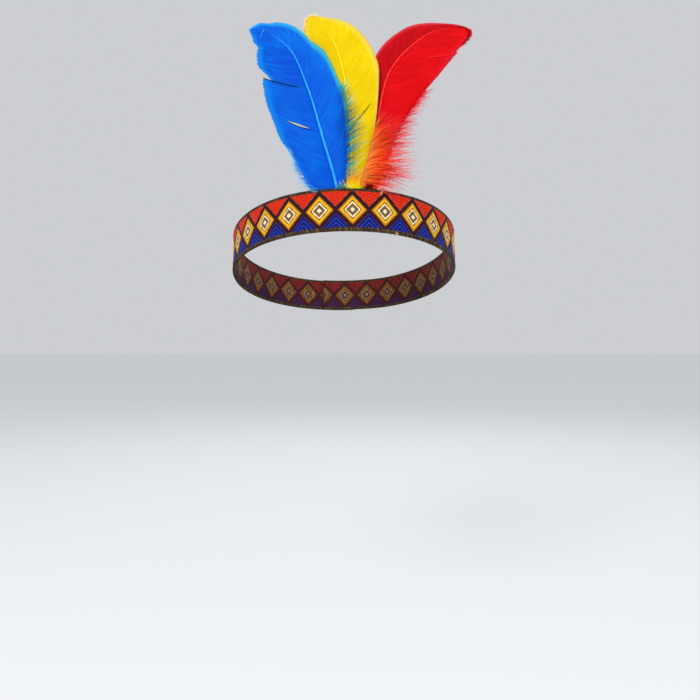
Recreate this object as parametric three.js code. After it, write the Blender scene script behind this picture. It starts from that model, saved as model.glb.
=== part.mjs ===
// A feathered headdress: a woven ribbon that goes round the head, and three dyed feathers
// (blue, yellow and red) whose quills are tucked behind its front.
//
// Millimetres, +Z up, the wearer faces -Y. The ribbon is drawn as a level loop whose middle is
// the origin, and the whole headdress is then tipped back as it is worn.

import * as THREE from "three";

// The ribbon, measured on its outer face
const loopHalfWidth = 76;
const loopHalfDepth = 94.5;
const loopSquareness = 2.07; // 2 would be a plain ellipse
const ribbonHeight = 25.4;
const ribbonThickness = 1.4;
const edgeRounding = 0.4;
const wornTilt = THREE.MathUtils.degToRad(10);

// The two ends of the ribbon lap at the back, the second one inside the first
const lapLength = 24;
const lapEase = 30;
const layerGap = 0.3;

// The feathers
const quillRadius = 1.3;
const shaftTipRadius = 0.35;
const quillPointRadius = 0.7;
const quillPointLength = 6;
const vaneThickness = 0.8;
const shaftToVane = 0.3;
const leastVaneWidth = 1;

// How finely the pieces are faceted
const ribbonSteps = 96;
const shaftSteps = 26;
const shaftSides = 8;
const vaneSteps = 24;
const vaneColumns = 4;
const downSteps = 14;
const downSides = 12;

// Each feather's surface stands behind the ribbon at "depth", leans back by "lean" for each
// millimetre up, and curls. Its shaft and the outlines of its two halves are drawn on that
// surface as seen from the front, as [across, up]. "fold" tips a half back by so much for each
// millimetre from the shaft, and "cup" curls its outer part back. "from" and "to" are the
// stretch of the shaft that the vane grows from.
const feathers = [
  {
    name: "blue",
    color: 0x0a6fe0,
    depth: -91,
    lean: -0.02,
    curl: 0.0007,
    from: 0.17,
    to: 0.97,
    shaft: [[-5, -9], [-8, 14], [-16, 45], [-25, 78], [-36, 104], [-52, 117]],
    left: {
      outline: [
        [-22, 13.5], [-32, 27], [-41, 44], [-48, 64],
        [-52, 84], [-55, 97], [-55, 105], [-59.5, 116],
      ],
      fold: 0.06,
      cup: 0.006,
    },
    right: {
      outline: [
        [-3, 14], [-1, 33], [0.5, 43], [-0.5, 56], [-6, 80],
        [-13, 101], [-25, 115], [-42, 122], [-59, 117],
      ],
      fold: -0.03,
      cup: 0.001,
    },
  },
  {
    name: "yellow",
    color: 0xf5cf0a,
    depth: -90.8,
    lean: 0.05,
    curl: 0.0004,
    from: 0.19,
    to: 0.97,
    shaft: [[2, -9], [0.6, 16], [0, 51], [-2.5, 84], [-7, 107], [-13, 121]],
    left: {
      outline: [
        [-2, 14.5], [-4, 35], [-6, 60], [-7, 85], [-12, 101],
        [-20, 113], [-27, 120], [-28, 125], [-23, 131],
      ],
      fold: 0.1,
      cup: 0.002,
    },
    right: {
      outline: [
        [2.4, 14.5], [8, 25], [14, 43], [16, 60], [18, 86],
        [18, 98], [11.5, 115.5], [-1, 128], [-20, 132.5],
      ],
      fold: -0.02,
      cup: 0.002,
    },
  },
  {
    name: "red",
    color: 0xdc0a18,
    depth: -90.2,
    lean: 0.1,
    curl: 0.0004,
    from: 0.15,
    to: 0.98,
    shaft: [[10, -9], [12, 16], [14, 40], [18, 68], [25, 95], [38, 114], [56, 129], [71, 132]],
    left: {
      outline: [[9, 14.5], [7, 40], [9, 75], [15, 103], [24, 120], [41, 134], [60, 136], [76, 133]],
      fold: 0.1,
      cup: 0.002,
    },
    right: {
      outline: [[14, 14.5], [24, 42], [36, 68], [51, 89], [67, 110], [78, 123], [79, 129]],
      fold: 0.03,
      cup: 0.003,
    },
  },
];

// The down at the foot of the red feather: a flattened plume that fans out to the right.
// Each row is [across, depth, up, half width, half thickness].
const redDownColor = 0xff6a3c;
const redDown = [
  [13, -92.6, 14, 2.5, 0.7],
  [19, -93.4, 17, 9, 1.4],
  [24, -93.7, 24, 15, 2],
  [25.5, -93.8, 35, 17, 2.2],
  [28, -93.4, 48, 16.5, 2],
  [30, -92.6, 60, 11, 1.5],
  [31, -91.6, 68, 4, 0.7],
];

// Joins a list of rings of points, all with the same count, into one closed solid.
function loft(rings) {
  const count = rings[0].length;
  const positions = rings.flat().flatMap((p) => [p.x, p.y, p.z]);
  const triangles = [];
  for (let i = 0; i + 1 < rings.length; i++) {
    for (let j = 0; j < count; j++) {
      const a = i * count + j;
      const b = i * count + ((j + 1) % count);
      triangles.push(a, b, a + count, b, b + count, a + count);
    }
  }
  const last = (rings.length - 1) * count;
  for (let j = 1; j + 1 < count; j++) {
    triangles.push(0, j + 1, j);
    triangles.push(last, last + j, last + j + 1);
  }
  const geometry = new THREE.BufferGeometry();
  geometry.setAttribute("position", new THREE.Float32BufferAttribute(positions, 3));
  geometry.setIndex(signedVolume(positions, triangles) < 0 ? triangles.reverse() : triangles);
  geometry.computeVertexNormals();
  return geometry;
}

// Positive where the triangles of a closed shape face outwards.
function signedVolume(positions, triangles) {
  const corner = (index) => new THREE.Vector3().fromArray(positions, 3 * index);
  let sum = 0;
  for (let i = 0; i < triangles.length; i += 3) {
    const [a, b, c] = [corner(triangles[i]), corner(triangles[i + 1]), corner(triangles[i + 2])];
    sum += a.dot(b.cross(c)) / 6;
  }
  return sum;
}

// A level loop round the head, with ends that pass each other at the back. The curve runs from
// the outer end, round by the front, to the inner end.
class RibbonPath extends THREE.Curve {
  getPoint(u, target = new THREE.Vector3()) {
    const lapAngle = lapLength / loopHalfWidth;
    const easeAngle = lapEase / loopHalfWidth;
    const angle = (2 * u - 1) * (Math.PI + lapAngle / 2);
    const lapStart = Math.PI - lapAngle / 2;
    const eased = THREE.MathUtils.smoothstep(angle, lapStart - easeAngle, lapStart);
    const inset = ribbonThickness / 2 + eased * (ribbonThickness + layerGap);
    const round = (value) => Math.sign(value) * Math.abs(value) ** (2 / loopSquareness);
    const across = (loopHalfWidth - inset) * round(Math.sin(angle));
    const along = -(loopHalfDepth - inset) * round(Math.cos(angle));
    return target.set(across, along, 0);
  }
}

// The cross-section of the ribbon, as [outwards, up], with its corners taken off.
function ribbonSection() {
  const out = ribbonThickness / 2;
  const up = ribbonHeight / 2;
  const r = edgeRounding;
  return [
    [out, up - r], [out - r, up], [r - out, up], [-out, up - r],
    [-out, r - up], [r - out, -up], [out - r, -up], [out, r - up],
  ];
}

function ribbonGeometry() {
  const path = new RibbonPath();
  path.arcLengthDivisions = 1000;
  const rings = [];
  for (let i = 0; i <= ribbonSteps; i++) {
    const centre = path.getPointAt(i / ribbonSteps);
    const tangent = path.getTangentAt(i / ribbonSteps);
    const outwards = new THREE.Vector3(tangent.y, -tangent.x, 0);
    rings.push(
      ribbonSection().map(([out, up]) => centre.clone().addScaledVector(outwards, out).setZ(up)),
    );
  }
  return loft(rings);
}

const curveThrough = (points) => new THREE.CatmullRomCurve3(points.map((p) => new THREE.Vector3(...p)));

// Where the surface of a feather lies, front to back, at a height above the middle of the ribbon.
function surfaceDepth(feather, up) {
  const above = Math.max(0, up - ribbonHeight / 2);
  return feather.depth + feather.lean * above + feather.curl * above ** 2;
}

const shaftCurve = (feather) =>
  curveThrough(feather.shaft.map(([across, up]) => [across, surfaceDepth(feather, up), up]));

// The shaft is round, thins towards its tip, and its quill end comes to a blunt point.
function shaftRadius(u, length) {
  const taper = THREE.MathUtils.lerp(quillRadius, shaftTipRadius, u);
  const point = THREE.MathUtils.smoothstep(u * length, 0, quillPointLength);
  return THREE.MathUtils.lerp(quillPointRadius, taper, point);
}

function shaftGeometry(feather) {
  const path = shaftCurve(feather);
  const length = path.getLength();
  const rings = [];
  for (let i = 0; i <= shaftSteps; i++) {
    const u = i / shaftSteps;
    const centre = path.getPointAt(u);
    const tangent = path.getTangentAt(u);
    const side = new THREE.Vector3().crossVectors(tangent, new THREE.Vector3(0, -1, 0)).normalize();
    const front = new THREE.Vector3().crossVectors(side, tangent).normalize();
    const radius = shaftRadius(u, length);
    const ring = [];
    for (let j = 0; j < shaftSides; j++) {
      const turn = (2 * Math.PI * j) / shaftSides;
      ring.push(
        centre.clone()
          .addScaledVector(side, radius * Math.cos(turn))
          .addScaledVector(front, radius * Math.sin(turn)),
      );
    }
    rings.push(ring);
  }
  return loft(rings);
}

// One half of a vane: a thin sheet from the shaft out to its outline, folded and cupped back.
// "hand" is 1 for the half to the right of the shaft and -1 for the one to its left.
function vaneGeometry(feather, half, hand) {
  const shaft = shaftCurve(feather);
  const length = shaft.getLength();
  const outline = curveThrough(half.outline.map(([across, up]) => [across, 0, up]));
  const rings = [];
  for (let i = 0; i <= vaneSteps; i++) {
    const u = THREE.MathUtils.lerp(feather.from, feather.to, i / vaneSteps);
    const root = shaft.getPointAt(u).setY(0);
    const tangent = shaft.getTangentAt(u);
    const side = new THREE.Vector3(hand * tangent.z, 0, -hand * tangent.x).normalize();
    const clearance = shaftRadius(u, length) + shaftToVane;
    const inner = root.clone().addScaledVector(side, clearance);
    const rim = outline.getPointAt(i / vaneSteps);
    const reach = rim.clone().sub(root).dot(side);
    rim.addScaledVector(side, Math.max(0, clearance + leastVaneWidth - reach));
    const front = [];
    const back = [];
    for (let j = 0; j <= vaneColumns; j++) {
      const point = inner.clone().lerp(rim, j / vaneColumns);
      const distance = point.distanceTo(root);
      const depth = surfaceDepth(feather, point.z) + half.fold * distance + half.cup * distance ** 2;
      front.push(point.clone().setY(depth - vaneThickness / 2));
      back.unshift(point.clone().setY(depth + vaneThickness / 2));
    }
    rings.push([...front, ...back]);
  }
  return loft(rings);
}

function redDownGeometry() {
  const middle = curveThrough(redDown.map(([across, depth, up]) => [across, depth, up]));
  const size = curveThrough(redDown.map((row) => [row[3], row[4], 0]));
  const rings = [];
  for (let i = 0; i <= downSteps; i++) {
    const centre = middle.getPoint(i / downSteps);
    const half = size.getPoint(i / downSteps);
    const ring = [];
    for (let j = 0; j < downSides; j++) {
      const turn = (2 * Math.PI * j) / downSides;
      const offset = new THREE.Vector3(half.x * Math.cos(turn), half.y * Math.sin(turn), 0);
      ring.push(centre.clone().add(offset));
    }
    rings.push(ring);
  }
  return loft(rings);
}

function piece(name, geometry, color, roughness) {
  const mesh = new THREE.Mesh(geometry, new THREE.MeshStandardMaterial({ color, roughness, metalness: 0 }));
  mesh.name = name;
  return mesh;
}

const headdress = new THREE.Group();
headdress.name = "headdress";
headdress.rotation.x = -wornTilt;

headdress.add(piece("band", ribbonGeometry(), 0xc05a20, 0.8));
for (const feather of feathers) {
  const { name, color } = feather;
  headdress.add(piece(`${name}_shaft`, shaftGeometry(feather), color, 0.45));
  headdress.add(piece(`${name}_vane_left`, vaneGeometry(feather, feather.left, -1), color, 0.7));
  headdress.add(piece(`${name}_vane_right`, vaneGeometry(feather, feather.right, 1), color, 0.7));
}
headdress.add(piece("red_down", redDownGeometry(), redDownColor, 0.9));

export default headdress;
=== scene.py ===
"""A feathered headdress: a woven ribbon that goes round the head, and three dyed feathers (blue,
yellow and red) whose quills are tucked behind its front.

Every piece is drawn in millimetres on a level loop whose middle is the origin, with the wearer
facing -Y. `wear` then turns a finished mesh to metres and tips it back as it is worn.
"""
import math
from collections import namedtuple

import bpy
import numpy as np
from mathutils import Matrix, Vector


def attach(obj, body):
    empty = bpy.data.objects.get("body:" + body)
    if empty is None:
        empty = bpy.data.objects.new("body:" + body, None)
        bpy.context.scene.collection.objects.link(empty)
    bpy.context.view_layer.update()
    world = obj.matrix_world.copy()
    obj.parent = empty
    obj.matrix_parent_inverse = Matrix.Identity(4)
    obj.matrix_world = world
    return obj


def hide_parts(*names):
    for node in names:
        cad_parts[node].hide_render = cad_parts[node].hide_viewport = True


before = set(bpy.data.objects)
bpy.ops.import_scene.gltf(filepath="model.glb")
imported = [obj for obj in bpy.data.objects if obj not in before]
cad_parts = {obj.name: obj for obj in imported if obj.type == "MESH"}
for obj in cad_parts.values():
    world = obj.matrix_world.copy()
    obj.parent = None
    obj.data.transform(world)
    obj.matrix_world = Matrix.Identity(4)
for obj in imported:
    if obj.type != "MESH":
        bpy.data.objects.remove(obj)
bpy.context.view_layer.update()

# ---------------------------------------------------------------- driving sizes, millimetres

WORN_TILT = math.radians(10)

LOOP_HALF_WIDTH = 76.0
LOOP_HALF_DEPTH = 94.5
LOOP_SQUARENESS = 2.07
RIBBON_HEIGHT = 25.4
RIBBON_THICKNESS = 1.4
LAP_LENGTH = 24.0
LAP_EASE = 30.0
LAYER_GAP = 0.3

QUILL_RADIUS = 1.3
SHAFT_TIP_RADIUS = 0.3
SHAFT_GROOVE = 0.3
VANE_TO = 0.995
TIP_SHARE = 0.2

# The woven figure: diamonds side by side, with triangles above and below them. A figure's own
# measure is 0 in the middle of a diamond and 1 where two lattice lines would meet.
FIGURE_PITCH = 18.66
FIGURE_MIDDLE = -0.15
FIGURE_SHIFT = 0.5
FIGURE_HALF_HEIGHT = 10.2
TOP_SELVEDGE = 1.9
BOTTOM_SELVEDGE = 2.2
LATTICE_OUTER = 1.2
WARP_PITCH = 0.45
WEFT_PITCH = 0.3
RED_RIB_PITCH = 0.195
BLUE_RIB_PITCH = 0.26
RIB_DEPTH = 0.07

# The ribbon's edges run in slight waves: the height, length and start of each.
EDGE_WAVES = [(0.108, 23.0, 0.0), (0.06, 9.1, 1.0)]

# Thread colours outwards from the middle of a diamond, by the figure's measure.
DIAMOND_THREADS = [
    (0.0, "#F4DDB8"),
    (0.15, "#6E5436"),
    (0.38, "#F6DCB0"),
    (0.49, "#3E2C06"),
    (0.57, "#E8AE12"),
    (0.7, "#D4940E"),
    (0.79, "#A06208"),
    (0.87, "#1C040A"),
    (0.96, "#3C0812"),
    (1.02, "#1A040A"),
    (1.1, "#340812"),
]
EDGE_THREADS = [(0.0, "#2C1606"), (0.3, "#3E2610"), (0.6, "#4A3A1A"), (0.9, "#7A6438")]

# How far each part of a diamond stands out of the ribbon's face, by the figure's measure.
FIGURE_RELIEF = [
    (0.0, 0.12),
    (0.14, 0.04),
    (0.38, 0.04),
    (0.44, 0.14),
    (0.5, 0.04),
    (0.56, 0.06),
    (0.68, 0.26),
    (0.8, 0.1),
    (0.87, -0.02),
    (1.03, -0.12),
    (1.2, 0.06),
]

EDGE_THREAD_RADIUS = 0.3
EDGE_THREADS_ALONG = 760
EDGE_ROUNDING = 0.4
OUTER_ROWS = 49
INNER_ROWS = 12
RIBBON_STATIONS = 1160
EDGE_STATIONS = 3000

# The loop's plan, feather surfaces and outlines are those of the solids. A surface is its depth at
# the ribbon, its lean and its curl. A vane starts at the share vane_from of its shaft. Each half
# is folded back from the shaft by its fold, and rounded back by its cup.
FEATHERS = {
    "blue": {
        "surface": (-91.0, -0.02, 0.0007),
        "vane_from": 0.1,
        "shaft": [(-5, -9), (-8, 14), (-16, 45), (-25, 78), (-36, 104), (-52, 117)],
        "left": {
            "rim": [
                (-8.5, 5), (-17, 8.5), (-23, 13.5), (-28.5, 24.8), (-35.3, 37.3), (-40, 44.6),
                (-43.5, 52.8), (-46, 60.5), (-49.5, 70.5), (-51.4, 81.2), (-52, 88), (-54.8, 94.5),
                (-55.2, 100), (-54.6, 104.6), (-57, 107.6), (-58.3, 112), (-60.3, 116.3),
            ],
            "fold": 0.06,
            "cup": 0.006,
        },
        "right": {
            "rim": [
                (-5.5, 5), (-3.2, 9), (-2.8, 14), (-1.5, 33), (-0.5, 45), (-1, 58), (-3.4, 76),
                (-6.7, 84.1), (-11.8, 97.2), (-15.5, 103.8), (-22.8, 109.9), (-28.5, 116.2),
                (-32.9, 119.8), (-38.5, 122), (-43.5, 122.6), (-48, 121.6), (-53.2, 122),
                (-57, 119.6), (-60.3, 116.3),
            ],
            "fold": -0.03,
            "cup": 0.001,
        },
    },
    "yellow": {
        "surface": (-90.8, 0.05, 0.0004),
        "vane_from": 0.1,
        "shaft": [(2, -9), (0.6, 16), (0, 51), (-2.5, 84), (-7, 107), (-12, 119), (-16.5, 127)],
        "left": {
            "rim": [
                (0.3, 5), (-3.4, 9), (-4.2, 14), (-7, 35), (-10.5, 60), (-14.5, 85), (-20.5, 101),
                (-24.6, 113), (-26.9, 120), (-27.3, 124.5), (-25.9, 129.6), (-22.6, 132.6),
            ],
            "fold": 0.1,
            "cup": 0.002,
        },
        "right": {
            "rim": [
                (2.5, 5), (7.8, 9), (8.2, 14.5), (9.4, 24), (11.4, 32), (12.6, 42), (15.4, 58),
                (18, 86), (18, 98), (11.5, 115.5), (3.5, 125.4), (-1.1, 128.6), (-6.9, 130.6),
                (-14, 131.6), (-22.6, 132.6),
            ],
            "fold": -0.02,
            "cup": 0.002,
        },
    },
    "red": {
        "surface": (-90.2, 0.1, 0.0004),
        "vane_from": 0.09,
        "shaft": [(10, -9), (12, 16), (14, 40), (18, 68), (25, 95), (38, 114), (56, 129), (71, 132)],
        "left": {
            "rim": [
                (10, 5), (6.4, 9), (6, 14.5), (7, 40), (9, 75), (15, 103), (24, 120), (41, 134),
                (60, 136), (72, 134), (79, 131),
            ],
            "fold": 0.1,
            "cup": 0.002,
        },
        "right": {
            "rim": [
                (11.8, 5), (14, 9), (15, 14.5), (24, 42), (36, 68), (51, 89), (67, 110),
                (76.5, 122), (79.5, 127), (79, 131),
            ],
            "fold": 0.03,
            "cup": 0.003,
        },
    },
}

# ---------------------------------------------------------------- camera, light and floor

CAMERA_PLACE = (-0.0225, -0.4516, -0.0624)
CAMERA_HEADING = math.radians(3.44)
CAMERA_LENS = 33.0
FLOOR_HEIGHT = -0.277
FLOOR_REACH = 40.0
FLOOR_SIDES = 96
FLOOR_COLOUR = (0.72, 0.73, 0.74, 1)
SKY_COLOUR = (0.94, 0.96, 1.0, 1)
SKY_LIGHT = 0.8
SKY_SEEN = 0.64
LIT_PLACE = (0.0, -0.03, 0.06)

# The name of each light, its place and size in metres, its power in watts and its colour.
LIGHTS = [
    ("key", (-0.6, -1.1, 0.85), 0.6, 12.5, (1, 0.985, 0.96)),
    ("fill", (0.9, -0.8, 0.3), 0.9, 3.5, (0.95, 0.97, 1)),
    ("back", (0.2, 1.0, 1.0), 0.8, 4.5, (1, 1, 1)),
]


def add_object(name, data):
    thing = bpy.data.objects.new(name, data)
    bpy.context.scene.collection.objects.link(thing)
    return thing


def make_camera():
    data = bpy.data.cameras.new("camera")
    data.lens = CAMERA_LENS
    data.sensor_width = 36.0
    camera = add_object("camera", data)
    camera.location = CAMERA_PLACE
    camera.rotation_euler = (math.pi / 2, 0, -CAMERA_HEADING)
    bpy.context.scene.camera = camera


def make_light(name, place, size, power, colour):
    data = bpy.data.lights.new(name, "AREA")
    data.shape = "DISK"
    data.size = size
    data.energy = power
    data.color = colour
    light = add_object(name, data)
    light.location = place
    away = Vector(LIT_PLACE) - Vector(place)
    light.rotation_euler = away.to_track_quat("-Z", "Y").to_euler()


def make_sky():
    """A sky whose light on the object differs from the backdrop that the camera sees."""
    world = bpy.data.worlds.new("studio")
    world.use_nodes = True
    sky = world.node_tree.nodes["Background"]
    sky.inputs["Color"].default_value = SKY_COLOUR
    seen = world.node_tree.nodes.new("ShaderNodeLightPath")
    level = world.node_tree.nodes.new("ShaderNodeMapRange")
    level.inputs["To Min"].default_value = SKY_LIGHT
    level.inputs["To Max"].default_value = SKY_SEEN
    world.node_tree.links.new(seen.outputs["Is Camera Ray"], level.inputs["Value"])
    world.node_tree.links.new(level.outputs[0], sky.inputs["Strength"])
    bpy.context.scene.world = world


def make_floor():
    mesh = bpy.data.meshes.new("floor")
    turns = [2 * math.pi * i / FLOOR_SIDES for i in range(FLOOR_SIDES)]
    corners = [(FLOOR_REACH * math.cos(t), FLOOR_REACH * math.sin(t), FLOOR_HEIGHT) for t in turns]
    mesh.from_pydata(corners, [], [tuple(range(FLOOR_SIDES))])
    paint = bpy.data.materials.new("floor_paint")
    paint.use_nodes = True
    shader = paint.node_tree.nodes["Principled BSDF"]
    shader.inputs["Base Color"].default_value = FLOOR_COLOUR
    shader.inputs["Roughness"].default_value = 0.85
    mesh.materials.append(paint)
    add_object("floor", mesh)


make_camera()
bpy.context.scene.view_settings.view_transform = "Standard"
make_sky()
for light in LIGHTS:
    make_light(*light)
make_floor()

# ---------------------------------------------------------------- node trees


class Wire:
    """An output in a node tree. Arithmetic between wires and numbers adds the nodes for it."""

    def __init__(self, graph, socket):
        self.graph = graph
        self.socket = socket

    @property
    def is_vector(self):
        return self.socket.type == "VECTOR"

    def __add__(self, other):
        return self.graph.maths("ADD", self, other)

    def __sub__(self, other):
        return self.graph.maths("SUBTRACT", self, other)

    def __rsub__(self, other):
        return self.graph.maths("SUBTRACT", other, self)

    def __mul__(self, other):
        factor_is_number = not (isinstance(other, Wire) and other.is_vector)
        if self.is_vector and factor_is_number:
            return self.graph.scaled(self, other)
        return self.graph.maths("MULTIPLY", self, other)

    def __truediv__(self, other):
        return self.graph.maths("DIVIDE", self, other)

    __radd__ = __add__
    __rmul__ = __mul__


class Graph:
    """A node tree and the short ways in which this script adds nodes to it."""

    def __init__(self, tree):
        self.tree = tree

    def node(self, kind, inputs=None, **settings):
        node = self.tree.nodes.new(kind)
        for key, value in settings.items():
            setattr(node, key, value)
        for key, value in (inputs or {}).items():
            self.feed(node.inputs[key], value)
        return node

    def feed(self, socket, value):
        if isinstance(value, Wire):
            self.tree.links.new(value.socket, socket)
        else:
            socket.default_value = value

    def wire(self, node, output=0):
        return Wire(self, node.outputs[output])

    def get(self, kind, inputs=None, output=0, **settings):
        """What a new node puts out."""
        return self.wire(self.node(kind, inputs, **settings), output)

    def maths(self, operation, *values):
        of_vectors = any(isinstance(v, Wire) and v.is_vector for v in values)
        kind = "ShaderNodeVectorMath" if of_vectors else "ShaderNodeMath"
        node = self.node(kind, dict(enumerate(values)), operation=operation)
        gives_number = operation in ("LENGTH", "DOT_PRODUCT", "DISTANCE")
        return self.wire(node, "Value" if gives_number else 0)

    def scaled(self, vector, factor):
        return self.get("ShaderNodeVectorMath", {0: vector, "Scale": factor}, operation="SCALE")

    def ramp(self, value, low, high, start=0.0, end=1.0):
        """A smooth rise from start to end as value goes from low to high."""
        inputs = {"Value": value, "From Min": low, "From Max": high, "To Min": start, "To Max": end}
        return self.get("ShaderNodeMapRange", inputs, interpolation_type="SMOOTHSTEP")

    def blend(self, factor, first, second):
        """A mix of two colours."""
        return self.get("ShaderNodeMix", {0: factor, 6: first, 7: second}, data_type="RGBA", output=2)

    def shaded(self, colour, share):
        """A colour with all its parts multiplied by a share."""
        inputs = {0: 1.0, 6: colour, 7: self.vector(share, share, share)}
        return self.get("ShaderNodeMix", inputs, data_type="RGBA", blend_type="MULTIPLY", output=2)

    def parts(self, vector):
        node = self.node("ShaderNodeSeparateXYZ", {0: vector})
        return [self.wire(node, i) for i in range(3)]

    def vector(self, x, y, z):
        return self.get("ShaderNodeCombineXYZ", {0: x, 1: y, 2: z})

    def noise(self, position, scale, detail=2.0, dimensions="3D"):
        place = {"W": position} if dimensions == "1D" else {"Vector": position}
        inputs = {**place, "Scale": scale, "Detail": detail}
        return self.get("ShaderNodeTexNoise", inputs, noise_dimensions=dimensions)

    def steps(self, value, stops, interpolation="CONSTANT"):
        """A colour that changes at each stop. The stops are [place, colour] with places 0 to 1."""
        node = self.node("ShaderNodeValToRGB", {0: value})
        ramp = node.color_ramp
        ramp.interpolation = interpolation
        while len(ramp.elements) < len(stops):
            ramp.elements.new(1.0)
        for element, (place, colour) in zip(ramp.elements, stops):
            element.position = place
            element.color = colour
        return self.wire(node)

    def cell_tone(self, x, y):
        """A number from 0 to 1, different for every whole pair x, y."""
        return self.get("ShaderNodeTexWhiteNoise", {"Vector": self.vector(x, y, 0.0)}, output="Value")

    def above(self, value, limit):
        return self.maths("GREATER_THAN", value, limit)

    def attribute(self, name):
        """A named attribute, read in a material."""
        return self.get("ShaderNodeAttribute", output="Fac", attribute_name=name)


class Group(Graph):
    """A new node group. Its inputs and outputs are lists of names, by the kind of socket."""

    def __init__(self, name, kind, inputs, outputs):
        super().__init__(bpy.data.node_groups.new(name, kind))
        for direction, sockets in (("INPUT", inputs), ("OUTPUT", outputs)):
            for sort, labels in sockets.items():
                for label in labels:
                    socket = "NodeSocket" + sort
                    self.tree.interface.new_socket(label, in_out=direction, socket_type=socket)
        self.entry = self.tree.nodes.new("NodeGroupInput")
        self.exit = self.tree.nodes.new("NodeGroupOutput")

    def __getitem__(self, label):
        return Wire(self, self.entry.outputs[label])

    def give(self, label, value):
        self.feed(self.exit.inputs[label], value)


class GeometryGroup(Group):
    """A Geometry Nodes tree that makes one mesh."""

    def __init__(self, name, inputs):
        inputs = {**inputs, "Material": ["Material"]}
        super().__init__(name, "GeometryNodeTree", inputs, {"Geometry": ["Mesh"]})
        self.tree.is_modifier = True

    def position(self):
        return self.get("GeometryNodeInputPosition")

    def index(self):
        return self.get("GeometryNodeInputIndex")

    def named(self, name):
        inputs = {"Name": name}
        return self.get("GeometryNodeInputNamedAttribute", inputs, "Attribute", data_type="FLOAT")

    def store(self, geometry, name, value):
        inputs = {"Geometry": geometry, "Name": name, "Value": value}
        return self.get("GeometryNodeStoreNamedAttribute", inputs, data_type="FLOAT", domain="POINT")

    def random(self, identity, offset, low=-1.0, high=1.0):
        inputs = {2: low, 3: high, "ID": identity, "Seed": self["Seed"] + offset}
        return self.get("FunctionNodeRandomValue", inputs, data_type="FLOAT", output=1)

    def guide(self, label):
        """The curve of a guide object."""
        return self.get("GeometryNodeObjectInfo", {"Object": self[label]}, output="Geometry")

    def sampled(self, curve, factor):
        """The point and the direction at a share of a curve's length."""
        inputs = {"Curves": curve, "Factor": factor}
        node = self.node("GeometryNodeSampleCurve", inputs, mode="FACTOR")
        return self.wire(node, "Position"), self.wire(node, "Tangent")

    def place(self, geometry, position):
        return self.get("GeometryNodeSetPosition", {"Geometry": geometry, "Position": position})

    def realized(self, geometry):
        return self.get("GeometryNodeRealizeInstances", {0: geometry})

    def points(self, count, **values):
        """Loose points that store these values."""
        points = self.get("GeometryNodePoints", {"Count": count})
        for name, value in values.items():
            points = self.store(points, name, value)
        return points

    def rods(self, points, sides, segments):
        """A rod for each point. With it come a corner's x and y, from -1 to 1 through the rod,
        and its share of the rod's length. `place` then bends the rods to their shape."""
        sizes = {"Vertices": sides, "Side Segments": segments, "Radius": 1.0, "Depth": 1.0}
        rod = self.get("GeometryNodeMeshCylinder", sizes, output="Mesh")
        copies = self.node("GeometryNodeInstanceOnPoints", {"Points": points, "Instance": rod})
        x, y, z = self.parts(self.position())
        return self.realized(self.wire(copies)), x, y, z + 0.5

    def finish(self, *meshes):
        """Joins the meshes and gives them their material."""
        join = self.node("GeometryNodeJoinGeometry")
        for mesh in meshes:
            self.tree.links.new(mesh.socket, join.inputs[0])
        solid = self.realized(self.wire(join))
        smooth = self.get("GeometryNodeSetShadeSmooth", {"Geometry": solid})
        inputs = {"Geometry": smooth, "Material": self["Material"]}
        self.give("Mesh", self.get("GeometryNodeSetMaterial", inputs))


def spelled(inputs):
    """Inputs given as keywords, under the names that their sockets have."""
    return {key.replace("_", " "): value for key, value in inputs.items()}


def grow(name, group, material, inputs):
    """Runs a Geometry Nodes tree once, and returns what it makes as a plain mesh object."""
    piece = add_object(name, bpy.data.meshes.new(name))
    modifier = piece.modifiers.new("grow", "NODES")
    modifier.node_group = group.tree
    sockets = [item for item in group.tree.interface.items_tree if item.in_out == "INPUT"]
    for socket in sockets:
        value = material if socket.name == "Material" else inputs[socket.name]
        modifier[socket.identifier] = value
    depsgraph = bpy.context.evaluated_depsgraph_get()
    mesh = bpy.data.meshes.new_from_object(
        piece.evaluated_get(depsgraph), preserve_all_data_layers=True, depsgraph=depsgraph
    )
    piece.modifiers.clear()
    piece.data = mesh
    mesh.name = name
    return piece


# ---------------------------------------------------------------- guide lines


def smooth_through(points, count):
    """A centripetal Catmull-Rom line through the points, as count points equally far apart."""
    p = np.array(points, float)
    p = np.vstack([2 * p[0] - p[1], p, 2 * p[-1] - p[-2]])
    line = []
    for a, b, c, d in zip(p, p[1:], p[2:], p[3:]):
        t1 = np.linalg.norm(b - a) ** 0.5
        t2 = t1 + np.linalg.norm(c - b) ** 0.5
        t3 = t2 + np.linalg.norm(d - c) ** 0.5
        for t in np.linspace(t1, t2, 24, endpoint=False):
            ab = a + (b - a) * t / t1
            bc = b + (c - b) * (t - t1) / (t2 - t1)
            cd = c + (d - c) * (t - t2) / (t3 - t2)
            abc = ab + (bc - ab) * t / t2
            bcd = bc + (cd - bc) * (t - t1) / (t3 - t1)
            line.append(abc + (bcd - abc) * (t - t1) / (t2 - t1))
    return even(np.array([*line, p[-2]]), count)


def distances(line):
    """How far along a line each of its points lies."""
    steps = np.linalg.norm(np.diff(line, axis=0), axis=1)
    return np.concatenate([[0], np.cumsum(steps)])


def even(line, count):
    """The same line as count points equally far apart."""
    run = distances(line)
    wanted = np.linspace(0, run[-1], count)
    return np.stack([np.interp(wanted, run, column) for column in line.T], 1)


def guide_curve(points):
    """A curve object for a Geometry Nodes tree to follow. It is removed again afterwards."""
    data = bpy.data.curves.new("guide", "CURVE")
    data.dimensions = "3D"
    spline = data.splines.new("POLY")
    spline.points.add(len(points) - 1)
    spline.points.foreach_set("co", np.column_stack([points, np.ones(len(points))]).ravel())
    return add_object("guide", data)


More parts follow.
